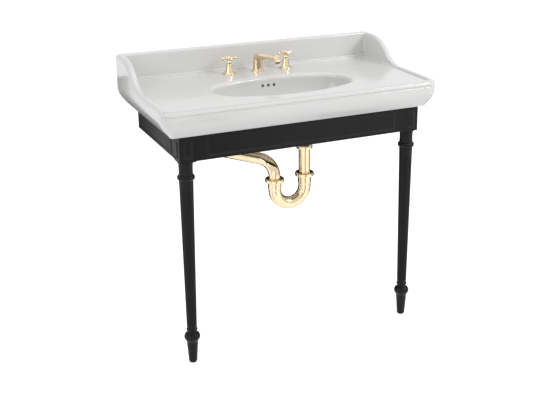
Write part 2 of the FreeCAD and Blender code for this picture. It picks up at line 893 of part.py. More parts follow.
def cove_section(side, setback, size):
    """Concave fillet section between a wing's inner face and the deck."""
    face_x = half_width - lip_width

    def point(inward, height):
        return Vector(side * (face_x - inward), from_wall(setback), deck + height)

    slant = size * (1 - math.sqrt(0.5))
    return Part.Wire([
        Part.makeLine(point(-join_lap, -join_lap), point(-join_lap, size)),
        Part.makeLine(point(-join_lap, size), point(0, size)),
        Part.Arc(point(0, size), point(slant, slant), point(size, 0)).toShape(),
        Part.makeLine(point(size, 0), point(size, -join_lap)),
        Part.makeLine(point(size, -join_lap), point(-join_lap, -join_lap)),
    ])


def wing_coves():
    strips = []
    fade_start = wing_reach - wing_cove_fade
    for side in SIDES.values():
        back = cove_section(side, splash_thickness - join_lap, wing_cove)
        front = cove_section(side, fade_start, wing_cove)
        tip = cove_section(side, wing_reach, wing_cove_tip)
        strips.append(Part.makeLoft([back, front], True, True))
        strips.append(Part.makeLoft([front, tip], True, True))
    return strips


def front_groove(outward, z):
    """Round-ended groove cutter along the front and part of the way round its corners."""
    radius = corner_radius + outward
    sweep = math.radians(groove_reach)
    centre_x = half_width - corner_radius
    centre_y = corner_radius - wall_y

    def corner_point(side, angle):
        return Vector(side * (centre_x + radius * math.sin(angle)), centre_y - radius * math.cos(angle), z)

    arcs = {s: Part.Arc(corner_point(s, 0), corner_point(s, sweep / 2), corner_point(s, sweep)).toShape()
            for s in SIDES.values()}
    front = Part.makeLine(corner_point(-1, 0), corner_point(1, 0))
    path = Part.Wire(Part.__sortEdges__([arcs[-1], front, arcs[1]]))
    start = corner_point(-1, sweep)
    direction = Vector(math.cos(sweep), -math.sin(sweep), 0)
    section = Part.Wire([Part.makeCircle(groove_radius, start, direction)])
    cutter = path.makePipeShell([section], True, False)
    ends = [Part.makeSphere(groove_radius, corner_point(s, sweep)) for s in SIDES.values()]
    return cutter.multiFuse(ends)


def front_grooves():
    """The two grooves that leave a bead between them."""
    angle = math.radians(upper_groove_angle)
    distance = lip_outer_round + upper_groove_lift
    round_z = rim - lip_outer_round
    upper = front_groove(distance * math.cos(angle) - lip_outer_round, round_z + distance * math.sin(angle))
    lower = front_groove(lower_groove_lift, round_z - lower_groove_drop)
    return [upper, lower]


def oval(half_long, half_short, end_radius, z):
    """Closed plan curve of four arcs that run smoothly into each other."""
    reach = half_long - end_radius
    side_radius = (reach ** 2 + half_short ** 2 - end_radius ** 2) / (2 * (half_short - end_radius))
    drop = side_radius - half_short
    lean = math.atan2(reach, drop)
    join_x = side_radius * math.sin(lean)
    join_y = side_radius * math.cos(lean) - drop

    def point(x, y):
        return Vector(x, bowl_y + y, z)

    def arc(start, through, end):
        return Part.Arc(point(*start), point(*through), point(*end)).toShape()

    return Part.Wire([
        arc((join_x, -join_y), (half_long, 0), (join_x, join_y)),
        arc((join_x, join_y), (0, half_short), (-join_x, join_y)),
        arc((-join_x, join_y), (-half_long, 0), (-join_x, -join_y)),
        arc((-join_x, -join_y), (0, -half_short), (join_x, -join_y)),
    ])


def bowl_form(growth):
    """Solid that fills the bowl, grown outwards by the given amount."""
    levels = [(1.0, rim)]
    for angle in bowl_angles:
        share = math.cos(math.radians(angle)) ** (2 / bowl_power)
        depth = math.sin(math.radians(angle)) ** (2 / bowl_power) * (bowl_depth + growth)
        levels.append((share, deck - depth))
    wires = [oval((bowl_half_width + growth) * share, (bowl_half_depth + growth) * share,
                  (bowl_end_radius + growth) * share, z) for share, z in levels]
    return Part.makeLoft(wires, True, False)


def duct_slab(half, front_y):
    return box((-half, half), (front_y, wall_y - back_wall), (0, deck_underside + join_lap))


def overflow_holes():
    z = deck - overflow_drop
    first = -overflow_spacing * (overflow_count - 1) / 2
    start_y = bowl_y
    end_y = bowl_y + bowl_half_depth + bowl_wall + duct_gap / 2
    places = [first + k * overflow_spacing for k in range(overflow_count)]
    return [rod(overflow_hole_radius, Vector(x, start_y, z), Vector(x, end_y, z)) for x in places]


def basin():
    edge = edge_path().makePipeShell([edge_profile()], True, False)
    core = inset_box(skirt_core - join_lap, 0, (basin_bottom, deck))
    body = fuse_all([edge, core, upstand(), splash_ledge()] + wing_coves())
    hollow = inset_box(skirt_wall, back_wall, (basin_bottom + foot_flange_height, deck_underside))
    mouth = inset_box(foot_flange_width, back_wall, (basin_bottom - cut_margin, deck_underside))
    body = body.cut(hollow).cut(mouth)
    below_deck = box((-half_width, half_width), (-wall_y, wall_y), (0, deck_underside + join_lap))
    shell = bowl_form(bowl_wall).common(below_deck)
    duct_outer = bowl_form(bowl_wall + duct_gap + duct_wall)
    duct_outer = duct_outer.common(duct_slab(duct_half_width + duct_wall, drain_y))
    boss = rod(drain_boss_radius, Vector(0, drain_y, drain_underside), Vector(0, drain_y, drain_seat))
    body = fuse_all([body, shell, duct_outer, boss])
    duct = bowl_form(bowl_wall + duct_gap).cut(bowl_form(bowl_wall))
    duct = duct.common(duct_slab(duct_half_width, drain_y))
    duct = duct.common(box((-half_width, half_width), (-wall_y, wall_y), (slot_low, deck_underside)))
    channel = box((-duct_channel_width / 2, duct_channel_width / 2), (drain_y, drain_y + duct_channel_reach),
                  (slot_low, slot_high))
    body = body.cut(duct).cut(channel)
    body = body.cut(box((-half_width, half_width), (-wall_y, wall_y), (0, drain_underside)))
    body = body.cut(bowl_form(0))
    body = body.cut(rod(waste_flange_radius + flange_fit, Vector(0, drain_y, drain_seat),
                        Vector(0, drain_y, drain_seat + bowl_depth / 2)))
    body = body.cut(rod(drain_hole_radius, Vector(0, drain_y, 0), Vector(0, drain_y, drain_seat + cut_margin)))
    body = body.makeFillet(bowl_edge_round, [edge for edge in body.Edges if is_bowl_mouth(edge)])
    for cutter in front_grooves() + overflow_holes():
        body = body.cut(cutter)
    for x in (-tap_spacing / 2, 0, tap_spacing / 2):
        body = body.cut(rod(tap_hole_radius, Vector(x, tap_y, deck_underside - cut_margin),
                            Vector(x, tap_y, deck + cut_margin)))
    for x in (-wall_hole_spacing / 2, wall_hole_spacing / 2):
        z = deck - wall_hole_drop
        body = body.cut(rod(wall_hole_radius, Vector(x, wall_y - back_wall - cut_margin, z),
                            Vector(x, wall_y + cut_margin, z)))
    return body


def is_bowl_mouth(edge):
    """True on the edge where the bowl meets the deck."""
    middle = edge.valueAt((edge.FirstParameter + edge.LastParameter) / 2)
    level = abs(edge.BoundBox.ZMin - deck) < touching and abs(edge.BoundBox.ZMax - deck) < touching
    at_end = abs(abs(middle.x) - bowl_half_width) < touching and abs(middle.y - bowl_y) < touching
    at_side = abs(abs(middle.y - bowl_y) - bowl_half_depth) < touching and abs(middle.x) < touching
    return level and (at_end or at_side)


# ---------------------------------------------------------------- valves and handles
def tap_place(side):
    return Vector(side * tap_spacing / 2, tap_y, deck)


def bell(side):
    """Flared cover over a valve, with its round base."""
    def point(radius, z):
        return Vector(radius, 0, z)

    ring_top_radius = base_ring_radius - base_ring_taper
    shoulder = base_ring_height + bell_foot_step
    corner = bell_top_round * (1 - math.sqrt(0.5))
    edges = [
        Part.makeLine(point(base_recess_radius, 0), point(base_ring_radius, 0)),
        Part.Arc(point(base_ring_radius, 0), point(base_ring_radius + base_ring_bulge, base_ring_height / 2),
                 point(ring_top_radius, base_ring_height)).toShape(),
        Part.makeLine(point(ring_top_radius, base_ring_height),
                      point(bell_bottom_radius + bell_foot_flare, base_ring_height)),
        Part.makeLine(point(bell_bottom_radius + bell_foot_flare, base_ring_height),
                      point(bell_bottom_radius, shoulder)),
        Part.Arc(point(bell_bottom_radius, shoulder), point(bell_waist_radius, bell_waist_height),
                 point(bell_top_radius, bell_height - bell_top_round)).toShape(),
        Part.Arc(point(bell_top_radius, bell_height - bell_top_round),
                 point(bell_top_radius - corner, bell_height - corner),
                 point(bell_top_radius - bell_top_round, bell_height)).toShape(),
        Part.makeLine(point(bell_top_radius - bell_top_round, bell_height),
                      point(bell_mouth_radius, bell_height)),
    ]
    hollow = [(bell_mouth_radius, bell_height), (bell_mouth_radius, bell_bore_height + bell_throat_height),
              (bell_throat_radius, bell_bore_height), (bell_bore, bell_bore_height - bell_bore_taper),
              (bell_bore, base_recess_height), (base_recess_radius, base_recess_height),
              (base_recess_radius, 0)]
    for start, end in zip(hollow, hollow[1:]):
        edges.append(Part.makeLine(point(*start), point(*end)))
    return turned_wire(edges, tap_place(side))


def valve_body(side):
    """Valve with its deck flange, threaded shank, side outlet and bottom inlet."""
    neck_top = valve_neck_height - valve_neck_taper
    outline = [
        (0, -valve_bottom - inlet_length), (inlet_radius, -valve_bottom - inlet_length),
        (inlet_radius, -valve_bottom), (shank_radius, -valve_bottom), (shank_radius, 0),
        (valve_flange_radius, 0), (valve_flange_radius, valve_flange_height),
        (valve_neck_radius, valve_flange_height), (valve_neck_radius, neck_top),
        (valve_neck_top_radius, valve_neck_height), (0, valve_neck_height),
    ]
    body = turned(outline)
    inward = RIGHT * -side
    drop = UP * -valve_outlet_drop
    body = body.fuse(rod(outlet_boss_radius, drop, drop + inward * outlet_boss_reach))
    body = body.cut(rod(crossover_radius + crossover_fit, drop + inward * (outlet_boss_reach - crossover_entry),
                        drop + inward * outlet_boss_reach))
    body = body.cut(rod(crossover_bore, drop, drop + inward * outlet_boss_reach))
    body = body.cut(rod(inlet_bore, UP * -(valve_bottom + inlet_length), drop + UP * inlet_bore))
    stem_floor = valve_neck_height - stem_bore_depth
    body = body.cut(rod(stem_radius + stem_fit, UP * stem_floor, UP * (valve_neck_height + cut_margin)))
    body.translate(tap_place(side))
    return body


def stem(side):
    """Spindle that the handle turns."""
    floor = valve_neck_height - stem_bore_depth + stem_end_gap
    spindle = rod(stem_radius, UP * floor, UP * handle_centre)
    spindle.translate(tap_place(side))
    return spindle


def cross_handle(side):
    foot = bell_height + handle_gap
    top = handle_centre + hub_rise
    waist = (foot + handle_centre) / 2
    outline = [
        (0, foot), (hub_foot_radius, foot), (hub_foot_radius, foot + hub_foot_height),
        (hub_waist_radius, waist), (hub_radius, handle_centre - hub_shoulder_drop),
        (hub_radius, top - hub_bevel), (hub_radius - hub_bevel, top), (0, top),
    ]
    parts = [turned(outline)]
    arm_start = hub_waist_radius
    for k in range(handle_arm_count):
        angle = 2 * math.pi * k / handle_arm_count
        direction = Vector(math.cos(angle), math.sin(angle), 0)
        centre = UP * handle_centre
        length = arm_reach - arm_start
        parts.append(Part.makeCone(arm_root_radius, arm_radius, length, centre + direction * arm_start, direction))
        parts.append(Part.makeSphere(arm_ball_radius, centre + direction * arm_reach))
    handle = fuse_all(parts)
    handle = handle.cut(rod(stem_radius + stem_fit, UP * foot, UP * handle_centre))
    handle = handle.cut(rod(button_radius + stem_fit, UP * (top - button_seat), UP * (top + cut_margin)))
    handle.translate(tap_place(side))
    return handle


def index_button(side):
    """Plain domed button in the top of a handle."""
    seat = handle_centre + hub_rise - button_seat
    rim_top = seat + button_seat
    crown = rim_top + button_height
    edges = [Part.makeLine(Vector(0, 0, seat), Vector(button_radius, 0, seat)),
             Part.makeLine(Vector(button_radius, 0, seat), Vector(button_radius, 0, rim_top)),
             dome_arc(button_radius, rim_top, button_height),
             Part.makeLine(Vector(0, 0, crown), Vector(0, 0, seat))]
    return turned_wire(edges, tap_place(side))


def deck_gasket(place, inner):
    return ring(inner + nut_fit, tap_hole_radius + gasket_lap, -deck_thickness - gasket_height,
                -deck_thickness, place)


def deck_locknut(place, inner):
    top = -deck_thickness - gasket_height
    return hexagon_nut(inner + nut_fit, inner + locknut_wall, top - locknut_height, top, place)


def crossover_tube(side):
    """Copper tube from a valve to the tee under the spout."""
    z = deck - valve_outlet_drop
    valve_end = tap_spacing / 2 - outlet_boss_reach + crossover_entry
    tee_end = tee_arm_reach - crossover_entry
    start, end = Vector(side * valve_end, tap_y, z), Vector(side * tee_end, tap_y, z)
    return rod(crossover_radius, start, end).cut(rod(crossover_bore, start, end))


# ---------------------------------------------------------------- spout
spout_place = Vector(0, tap_y, deck)


def nozzle_direction():
    tilt = math.radians(nozzle_tilt)
    return Vector(0, -math.sin(tilt), -math.cos(tilt))


def nozzle_top():
    return Vector(0, -nozzle_reach, nozzle_rise)


def spout():
    """Column, tapering arm and tilted nozzle in one casting."""
    outline = [
        (0, 0), (spout_base_radius, 0), (spout_base_radius, spout_base_height - spout_base_bevel),
        (spout_base_radius - spout_base_bevel, spout_base_height),
        (column_bottom_radius + column_foot_flare, spout_base_height),
        (column_bottom_radius, spout_base_height + column_foot_rise),
        (column_top_radius, column_height), (0, column_height),
    ]
    column = turned(outline)
    dome = Part.makeSphere(column_top_radius, UP * column_height)
    wires = [Part.Wire([Part.makeCircle(radius, Vector(0, -reach, rise), BACK)])
             for reach, rise, radius in arm_stations]
    arm = Part.makeLoft(wires, True, False)
    axis = nozzle_direction()
    nozzle = rod(nozzle_radius, nozzle_top(), nozzle_top() + axis * nozzle_length)
    nozzle = nozzle.makeFillet(nozzle_round, [e for e in nozzle.Edges if is_circle_at(e, nozzle_radius)])
    casting = fuse_all([column, dome, arm, nozzle])
    mouth = nozzle_top() + axis * nozzle_length
    casting = casting.cut(rod(aerator_radius + aerator_fit, mouth - axis * aerator_depth,
                            mouth + axis * cut_margin))
    casting = casting.cut(rod(spout_shank_radius + nut_fit, UP * -cut_margin, UP * (column_height / 2)))
    casting.translate(spout_place)
    return casting


def aerator():
    """Outlet insert: a thin ring with a cross of flow bars."""
    axis = nozzle_direction()
    mouth = nozzle_top() + axis * nozzle_length
    top = mouth - axis * aerator_depth
    body = rod(aerator_radius, top, mouth)
    body = body.cut(rod(aerator_radius - aerator_wall, mouth - axis * (aerator_depth - aerator_wall), mouth))
    across = RIGHT
    along_face = axis.cross(across)
    for direction in (across, along_face):
        reach = aerator_radius - aerator_wall / 2
        side = direction.cross(axis)
        corners = [top + direction * (u * reach) + side * (v * aerator_bar / 2)
                   for u, v in ((-1, -1), (1, -1), (1, 1), (-1, 1))]
        bar = polygon_face(corners).extrude(axis * (aerator_depth - aerator_wall / 2))
        body = body.fuse(bar)
    body = body.removeSplitter()
    body.translate(spout_place)
    return body


def spout_shank():
    top = column_height / 2 - join_lap
    shank = ring(spout_shank_bore, spout_shank_radius, -spout_shank_length, top)
    shank.translate(spout_place)
    return shank


def spout_tee():
    """Tee that joins the two crossover tubes under the spout's shank."""
    middle = UP * -valve_outlet_drop
    half = tee_height / 2
    body = rod(tee_radius, middle - UP * half, middle + UP * half)
    arms = rod(tee_arm_radius, middle - RIGHT * tee_arm_reach, middle + RIGHT * tee_arm_reach)
    tee = fuse_all([body, arms])
    tee = tee.cut(rod(spout_shank_radius + nut_fit, UP * -spout_shank_length, middle + UP * (half + cut_margin)))
    tee = tee.cut(rod(crossover_bore, middle - RIGHT * tee_arm_reach, middle + RIGHT * tee_arm_reach))
    for side in SIDES.values():
        mouth = middle + RIGHT * side * tee_arm_reach
        tee = tee.cut(rod(crossover_radius + crossover_fit, mouth - RIGHT * side * crossover_entry, mouth))
    tee.translate(spout_place)
    return tee


# ---------------------------------------------------------------- waste
drain_place = Vector(0, drain_y, drain_seat)
waste_end = drain_seat - waste_length
offset_place = Vector(offset_shift, drain_y, 0)


def waste_body():
    """Flanged waste with its overflow slots and the bridge that guides the plug."""
    lip = waste_flange_radius
    outline = [
        (waste_bore, -waste_length), (waste_thread_radius, -waste_length), (waste_thread_radius, 0),
        (lip, 0), (lip, flange_edge_height), (lip - flange_bevel, waste_flange_thickness),
        (plug_radius - plug_lap, waste_flange_thickness),
        (waste_bore + waste_throat_flare, waste_throat_rise), (waste_bore, -waste_throat_depth),
    ]
    body = turned(outline)
    slot = box((-overflow_slot_width / 2, overflow_slot_width / 2), (0, waste_thread_radius + cut_margin),
               (slot_low - drain_seat, slot_high - drain_seat))
    body = body.cut(slot)
    z_range = (-bridge_drop - bridge_height, -bridge_drop)
    reach = (waste_bore + waste_thread_radius) / 2
    half = bridge_width / 2
    bars = [box((-reach, reach), (-half, half), z_range), box((-half, half), (-reach, reach), z_range),
            rod(guide_radius, UP * z_range[0], UP * z_range[1])]
    body = fuse_all([body] + bars)
    body = body.cut(rod(plug_stem_radius + plug_fit, UP * (z_range[0] - cut_margin),
                      UP * (z_range[1] + cut_margin)))
    body.translate(drain_place)
    return body


def waste_plug():
    """Domed plug on its guide stem; it rests on the waste's flange and lifts to open."""
    seat = waste_flange_thickness
    underside = seat + plug_clearance
    rim_top = underside + plug_rim
    edges = [
        Part.makeLine(Vector(0, 0, underside), Vector(plug_radius, 0, underside)),
        Part.makeLine(Vector(plug_radius, 0, underside), Vector(plug_radius, 0, rim_top)),
        dome_arc(plug_radius, rim_top, plug_dome),
        Part.makeLine(Vector(0, 0, rim_top + plug_dome), Vector(0, 0, underside)),
    ]
    plug = turned_wire(edges)
    collar_top = -bridge_drop - bridge_height - plug_travel - plug_clearance
    stem_end = collar_top - plug_collar_height
    guide = rod(plug_stem_radius, UP * stem_end, UP * (underside + plug_rim))
    collar = rod(plug_collar_radius, UP * stem_end, UP * collar_top)
    plug = fuse_all([plug, guide, collar])
    plug.translate(drain_place)
    return plug


def waste_gasket():
    return ring(waste_thread_radius + nut_fit, waste_thread_radius + waste_gasket_lap,
                -drain_floor - gasket_height, -drain_floor, drain_place)


def waste_locknut():
    top = -drain_floor - gasket_height
    return hexagon_nut(waste_thread_radius + nut_fit, waste_nut_across, top - waste_nut_height, top, drain_place)


def offset_points():
    """Axis of the offset elbow: down, across and down again."""
    foot = tail_nut_bottom + tail_entry
    run_height = (waste_end + foot) / 2
    return [Vector(0, drain_y, waste_end), Vector(0, drain_y, run_height),
            Vector(offset_shift, drain_y, run_height), Vector(offset_shift, drain_y, foot)]


def offset_elbow():
    """Short double elbow that carries the waste sideways to the trap."""
    points = offset_points()
    radii = [offset_bend_radius, offset_bend_radius]
    outer = tube_along(points, radii, offset_tube_radius)
    top_collar = rod(offset_collar_radius, points[0] - UP * offset_collar_height, points[0])
    foot_collar = rod(offset_collar_radius, points[-1], points[-1] + UP * offset_collar_height)
    body = fuse_all([outer, top_collar, foot_collar])
    return body.cut(tube_along(points, radii, offset_tube_radius - tube_wall))


def coupling_nut():
    """Nut that draws the elbow's collar up against the waste."""
    low = waste_end - offset_collar_height - coupling_shelf
    inner = waste_thread_radius + nut_fit
    outer = inner + coupling_wall
    axis = Vector(0, drain_y, 0)
    nut = rounded_ring(inner, outer, low, low + coupling_height, coupling_round, axis)
    shelf = ring(offset_tube_radius + coupling_bend_room, inner + join_lap, low, low + coupling_shelf, axis)
    return nut.fuse(shelf).removeSplitter()


def tailpiece():
    top = tail_nut_bottom + tail_entry
    bottom = inlet_nut_bottom - socket_depth + socket_taper
    pipe_wall = ring(tube_radius - tube_wall, tube_radius, bottom, top - tailpiece_lip)
    lip = ring(tube_radius - tube_wall, offset_collar_radius, top - tailpiece_lip, top)
    pipe_body = pipe_wall.fuse(lip).removeSplitter()
    pipe_body.translate(offset_place)
    return pipe_body


def tail_nut():
    """Nut that clamps the tailpiece's lip to the elbow's collar."""
    inner = offset_collar_radius + nut_fit
    top = tail_nut_bottom + tail_nut_height
    nut = rounded_ring(inner, tail_nut_radius, tail_nut_bottom, top, tail_nut_round, offset_place)
    shelf = ring(tube_radius + nut_fit, inner + join_lap, tail_nut_bottom,
                 tail_nut_bottom + coupling_shelf, offset_place)
    return nut.fuse(shelf).removeSplitter()


bend_left = Vector(offset_shift - 2 * bend_radius, drain_y, 0)


def slip_nut(axis, bottom):
    """Rounded nut on a socket of the trap."""
    inner = socket_radius + nut_fit
    top = bottom + slip_nut_height
    nut = rounded_ring(inner, slip_nut_radius, bottom, top, slip_nut_round, axis)
    shelf = ring(tube_radius + nut_fit, inner + join_lap, top - slip_nut_shelf, top, axis)
    return nut.fuse(shelf).removeSplitter()


def slip_washer(axis, bottom):
    top = bottom + slip_nut_height - slip_nut_shelf
    return ring(tube_radius + nut_fit, socket_radius - nut_fit, top - slip_washer_height, top, axis)


def socket(axis, nut_bottom):
    """Widened end of the J-bend that a tube slips into."""
    top = nut_bottom + slip_nut_height - slip_nut_shelf - slip_washer_height
    bottom = nut_bottom - socket_depth
    inner = trap_tube_radius - tube_wall
    floor = bottom + socket_floor
    outline = [(inner, bottom - socket_taper), (trap_tube_radius, bottom - socket_taper),
               (socket_radius, bottom), (socket_radius, top), (tube_radius + socket_fit, top),
               (tube_radius + socket_fit, floor), (tube_radius - tube_wall, floor),
               (tube_radius - tube_wall, bottom), (inner, bottom - socket_taper / 2)]
    return turned(outline, axis)


def j_bend():
    right_end = offset_place + UP * (inlet_nut_bottom - socket_depth)
    left_end = bend_left + UP * (outlet_nut_bottom - socket_depth)
    bend = half_turn_pipe(right_end, left_end)
    return fuse_all([bend, socket(offset_place, inlet_nut_bottom), socket(bend_left, outlet_nut_bottom)])


def half_turn_pipe(right_end, left_end):
    """U-shaped pipe between two upright ends."""
    spring_z = bend_bottom + bend_radius
    right_spring = offset_place + UP * spring_z
    left_spring = bend_left + UP * spring_z
    lowest = (right_spring + left_spring) * 0.5 - UP * bend_radius
    path = Part.Wire([Part.makeLine(right_end, right_spring),
                      Part.Arc(right_spring, lowest, left_spring).toShape(),
                      Part.makeLine(left_spring, left_end)])
    skins = []
    for radius in (trap_tube_radius, trap_tube_radius - tube_wall):
        section = Part.Wire([Part.makeCircle(radius, right_end, -UP)])
        skins.append(path.makePipeShell([section], True, False))
    return skins[0].cut(skins[1])


def arm_points():
    """Axis of the trap arm: up out of the trap, back to the left, then square to the wall."""
    heading = math.radians(arm_heading)
    start = bend_left + UP * (outlet_nut_bottom - socket_depth + socket_taper)
    rise = Vector(start.x, start.y, arm_height)
    turn_y = from_wall(arm_turn_distance)
    turn = Vector(start.x - (turn_y - start.y) * math.tan(heading), turn_y, arm_height)
    return [start, rise, turn, Vector(turn.x, wall_y, arm_height)]


def trap_arm():
    return pipe(arm_points(), [arm_bend_radius, arm_turn_radius], tube_radius, tube_radius - tube_wall)


def wall_flange():
    """Domed plate that covers the hole where the arm enters the wall."""
    end = arm_points()[-1]
    inner = tube_radius + flange_fit_gap
    edges = [
        Part.makeLine(Vector(flange_radius - flange_skin, 0, 0), Vector(flange_radius, 0, 0)),
        Part.makeLine(Vector(flange_radius, 0, 0), Vector(flange_radius, 0, flange_skin)),
        Part.Arc(Vector(flange_radius, 0, flange_skin),
                 Vector((flange_radius + inner) / 2 + flange_dome_bulge, 0, flange_dome_height),
                 Vector(inner, 0, flange_height)).toShape(),
        Part.makeLine(Vector(inner, 0, flange_height), Vector(inner, 0, flange_height - flange_skin)),
        Part.Arc(Vector(inner, 0, flange_height - flange_skin),
                 Vector((flange_radius + inner) / 2, 0, flange_dome_height - flange_skin),
                 Vector(flange_radius - flange_skin, 0, 0)).toShape(),
    ]
    plate = turned_wire(edges)
    plate.Placement = Placement(end, Rotation(UP, -BACK))
    return plate


# ---------------------------------------------------------------- all nodes
def build():
    nodes = {"basin": basin(), "front_rail": front_rail()}
    for name, side in SIDES.items():
        nodes[name + "_rail"] = side_rail(side)
        nodes[name + "_corner_block"] = corner_block(side)
        nodes[name + "_leg"] = leg(side)
        nodes[name + "_foot_pad"] = foot_pad(side)
        nodes[name + "_wall_bracket"] = wall_bracket(side)
    nodes["leg_studs"] = leg_studs()
    nodes["rail_dowels"] = rail_dowels()
    nodes["bracket_screws"] = bracket_screws()
    nodes["basin_pads"] = basin_pads()
    for name, side in VALVES.items():
        place = tap_place(side)
        nodes[name + "_bell"] = bell(side)
        nodes[name + "_valve_body"] = valve_body(side)
        nodes[name + "_stem"] = stem(side)
        nodes[name + "_cross_handle"] = cross_handle(side)
        nodes[name + "_index_button"] = index_button(side)
        nodes[name + "_gasket"] = deck_gasket(place, shank_radius)
        nodes[name + "_locknut"] = deck_locknut(place, shank_radius)
        nodes[name + "_crossover_tube"] = crossover_tube(side)
    nodes["spout"] = spout()
    nodes["spout_aerator"] = aerator()
    nodes["spout_shank"] = spout_shank()
    nodes["spout_gasket"] = deck_gasket(spout_place, spout_shank_radius)
    nodes["spout_locknut"] = deck_locknut(spout_place, spout_shank_radius)
    nodes["spout_tee"] = spout_tee()
    nodes["waste_body"] = waste_body()
    nodes["waste_plug"] = waste_plug()
    nodes["waste_gasket"] = waste_gasket()
    nodes["waste_locknut"] = waste_locknut()
    nodes["coupling_nut"] = coupling_nut()
    nodes["offset_elbow"] = offset_elbow()
    nodes["tail_nut"] = tail_nut()
    nodes["tailpiece"] = tailpiece()
    nodes["trap_inlet_nut"] = slip_nut(offset_place, inlet_nut_bottom)
    nodes["trap_inlet_washer"] = slip_washer(offset_place, inlet_nut_bottom)
    nodes["j_bend"] = j_bend()
    nodes["trap_outlet_nut"] = slip_nut(bend_left, outlet_nut_bottom)
    nodes["trap_outlet_washer"] = slip_washer(bend_left, outlet_nut_bottom)
    nodes["trap_arm"] = trap_arm()
    nodes["wall_flange"] = wall_flange()
    return nodes


def main():
    os.makedirs("parts", exist_ok=True)
    for name, shape in build().items():
        shape.exportStep("parts/" + name + ".step")
        solids = len(shape.Solids)
        print(name, "solids", solids, "valid", shape.isValid(), "volume", round(shape.Volume / 1000, 2))


main()
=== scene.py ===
import json
import math

import bpy
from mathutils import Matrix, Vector


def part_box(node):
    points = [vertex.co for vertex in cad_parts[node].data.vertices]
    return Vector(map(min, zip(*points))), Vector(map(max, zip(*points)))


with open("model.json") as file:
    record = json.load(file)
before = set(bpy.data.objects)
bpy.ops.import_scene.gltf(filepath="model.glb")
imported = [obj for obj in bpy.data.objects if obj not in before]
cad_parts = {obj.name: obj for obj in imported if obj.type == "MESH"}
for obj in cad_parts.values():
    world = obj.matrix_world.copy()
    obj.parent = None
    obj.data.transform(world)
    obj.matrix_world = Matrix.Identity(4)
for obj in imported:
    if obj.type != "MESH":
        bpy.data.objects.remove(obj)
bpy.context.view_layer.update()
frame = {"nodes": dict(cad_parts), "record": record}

# Looks of the console sink. Metres, in the CAD frame: X right, Y back to the wall, Z up.

nodes = frame["nodes"]

# ---------------------------------------------------------------- camera
PHOTO_WIDTH = 550.0                 # pixels of the photograph's frame
PHOTO_HEIGHT = 412.0
FOCAL_PIXELS = 975.5
CENTRE_U = 307.4                    # pixel where the lens axis meets the picture
CENTRE_V = 146.0
CAMERA_YAW = 25.76                  # degrees that the view turns to the right
CAMERA_PITCH = 17.49                # degrees that it tips down
CAMERA_PLACE = (-1.231, -2.769, 1.5575)
SENSOR_WIDTH = 36.0                 # millimetres

# ---------------------------------------------------------------- floor, world and lights
FLOOR_SIZE = 40.0
FLOOR_WHITE = 0.93
FLOOR_ROUGHNESS = 0.9
FLOOR_LIFT = 0.56                   # extra light that only the camera and reflections see
AMBIENT = 0.56                      # strength of the world's light on the object
OBJECT_MIDDLE = (0.0, 0.0, 0.6)     # what the lights are aimed at
BASIN_MIDDLE = (0.0, 0.0, 0.8)
LIGHTS = (
    # name, place, target, width and height, watts
    ("key", (2.4, -2.0, 2.9), OBJECT_MIDDLE, (1.3, 1.3), 60.0),
    ("fill", (-2.6, -1.0, 1.7), OBJECT_MIDDLE, (1.6, 2.0), 16.0),
    ("top", (-0.3, -0.3, 3.6), OBJECT_MIDDLE, (2.2, 1.6), 14.0),
    ("low", (-0.9, -3.0, 0.4), BASIN_MIDDLE, (2.2, 0.6), 5.0),
)

# ---------------------------------------------------------------- cards, by where they stand on the floor
BACK_CARD_LEFT = (-0.55, 0.45)
BACK_CARD_RIGHT = (0.65, 0.45)      # the side card starts here
SIDE_CARD_FRONT = (0.95, -0.05)
DARK_CARD_TOP = 0.78                # low, so that the splashback's top edge stays pale
STRIP_LEFT = (-0.25, -0.95)
STRIP_RIGHT = (0.09, -0.95)
STRIP_TOP = 0.60
UNSEEN_BY = ("camera", "diffuse", "transmission", "volume_scatter", "shadow")

# ---------------------------------------------------------------- colours, linear
GLAZE = (0.695, 0.693, 0.687)
LACQUER = (0.0062, 0.0062, 0.0064)
GOLD = (0.81, 0.67, 0.465)
GOLD_DEEP = (0.74, 0.59, 0.38)
RAW_BRASS = (0.62, 0.46, 0.22)
COPPER = (0.62, 0.30, 0.18)
ZINC = (0.52, 0.54, 0.56)
BEECH = (0.48, 0.30, 0.15)
RUBBER = (0.018, 0.018, 0.018)
INSERT = (0.42, 0.42, 0.41)
WHITE = (1.0, 1.0, 1.0)
CARD_DARK = (0.030, 0.020, 0.013)
CARD_GREY = (0.60, 0.55, 0.46)

# ---------------------------------------------------------------- finishes
RAW_BRASS_ROUGHNESS = 0.34
COPPER_ROUGHNESS = 0.28
TURNED_GOLD_ROUGHNESS = 0.16
RUBBER_ROUGHNESS = 0.72
INSERT_ROUGHNESS = 0.5
NOISE_SPAN = (0.3, 0.7)             # most values of a noise texture lie in it
WIDE_SPAN = (0.25, 0.75)
LATE_SPAN = (0.35, 0.7)             # leaves more of the first colour
EVEN = (1.0, 1.0, 1.0)
LONG_GRAIN = (0.3, 3.0, 3.0)        # squeezed across, so that the grain runs along X

# ---------------------------------------------------------------- threads
VALVE_PITCH = 0.00181               # 14 turns to the inch
WASTE_PITCH = 0.00231               # 11 turns to the inch
THREAD_DEPTH = 0.0011
WAVE_RATE = 20.0                    # radians of a wave texture for each metre at scale 1
THREADED = (
    # shank, nut, pitch, colour, roughness
    ("hot_valve_body", "hot_locknut", VALVE_PITCH, RAW_BRASS, RAW_BRASS_ROUGHNESS),
    ("cold_valve_body", "cold_locknut", VALVE_PITCH, RAW_BRASS, RAW_BRASS_ROUGHNESS),
    ("spout_shank", "spout_locknut", VALVE_PITCH, RAW_BRASS, RAW_BRASS_ROUGHNESS),
    ("waste_body", "waste_locknut", WASTE_PITCH, GOLD, TURNED_GOLD_ROUGHNESS),
)


